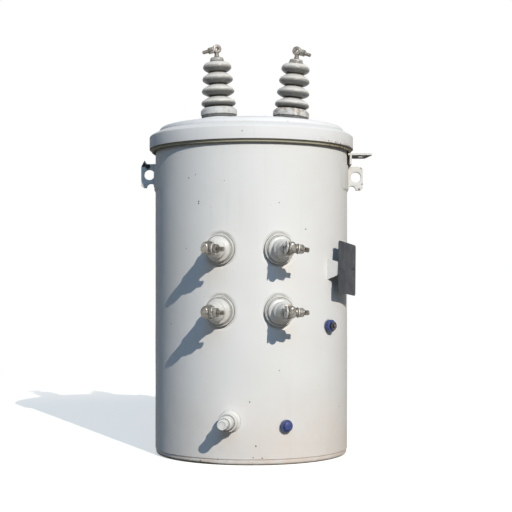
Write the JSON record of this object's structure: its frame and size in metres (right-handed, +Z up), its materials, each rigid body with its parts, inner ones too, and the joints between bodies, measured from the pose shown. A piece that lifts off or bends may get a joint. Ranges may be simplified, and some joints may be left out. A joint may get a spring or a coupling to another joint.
{
  "type": "pole mounted transformer",
  "caption": "Round painted steel tank with ribbed porcelain bushings on its domed lid, side terminals, lifting lugs and pole hangers, for stepping line voltage down.",
  "frame": {"origin": "on the tank's axis, on the underside of the bottom pan", "axes": "+Z up the tank's axis, -Y towards the low voltage bushings, +Y towards the pole, +X towards the arrester bracket"},
  "size_m": [0.492, 0.5397, 0.8736],
  "materials": {
    "tank_paint": "gloss",
    "cover_paint": "gloss",
    "gasket_rubber": "matt",
    "hv_porcelain": "gloss",
    "lv_porcelain": "gloss",
    "cap_metal": "satin",
    "tinned_metal": "satin",
    "dark_steel": "satin",
    "nameplate_paint": "satin",
    "blue_plastic": "satin"
  },
  "bodies": {
    "root": {"arrester_bracket": "tank_paint", "band_bolt": "cover_paint", "cover": "cover_paint", "cover_band": "cover_paint", "cover_gasket": "gasket_rubber", "drain_coupling": "tank_paint", "drain_plug": "tank_paint", "ground_bolt": "dark_steel", "ground_boss": "tank_paint", "ground_washer": "blue_plastic", "hv_gaskets": "gasket_rubber", "hv_left_cap": "cap_metal", "hv_left_clamp_bolt": "tinned_metal", "hv_left_porcelain": "hv_porcelain", "hv_left_ring": "cover_paint", "hv_left_terminal": "tinned_metal", "hv_right_cap": "cap_metal", "hv_right_clamp_bolt": "tinned_metal", "hv_right_porcelain": "hv_porcelain", "hv_right_ring": "cover_paint", "hv_right_terminal": "tinned_metal", "lifting_lug_left": "tank_paint", "lifting_lug_right": "tank_paint", "lv_gaskets": "gasket_rubber", "lv_lower_left_clamp_bolt": "tinned_metal", "lv_lower_left_connector": "tinned_metal", "lv_lower_left_porcelain": "lv_porcelain", "lv_lower_left_stud": "tinned_metal", "lv_lower_right_clamp_bolt": "tinned_metal", "lv_lower_right_connector": "tinned_metal", "lv_lower_right_porcelain": "lv_porcelain", "lv_lower_right_stud": "tinned_metal", "lv_upper_left_clamp_bolt": "tinned_metal", "lv_upper_left_connector": "tinned_metal", "lv_upper_left_porcelain": "lv_porcelain", "lv_upper_left_stud": "tinned_metal", "lv_upper_right_clamp_bolt": "tinned_metal", "lv_upper_right_connector": "tinned_metal", "lv_upper_right_porcelain": "lv_porcelain", "lv_upper_right_stud": "tinned_metal", "nameplate": "nameplate_paint", "nameplate_bracket": "tank_paint", "pole_hanger_lower": "tank_paint", "pole_hanger_upper": "tank_paint", "sample_boss": "tank_paint", "sample_plug": "blue_plastic", "tank_bottom": "tank_paint", "tank_rim": "tank_paint", "tank_wall": "tank_paint"}
  },
  "joints": []
}
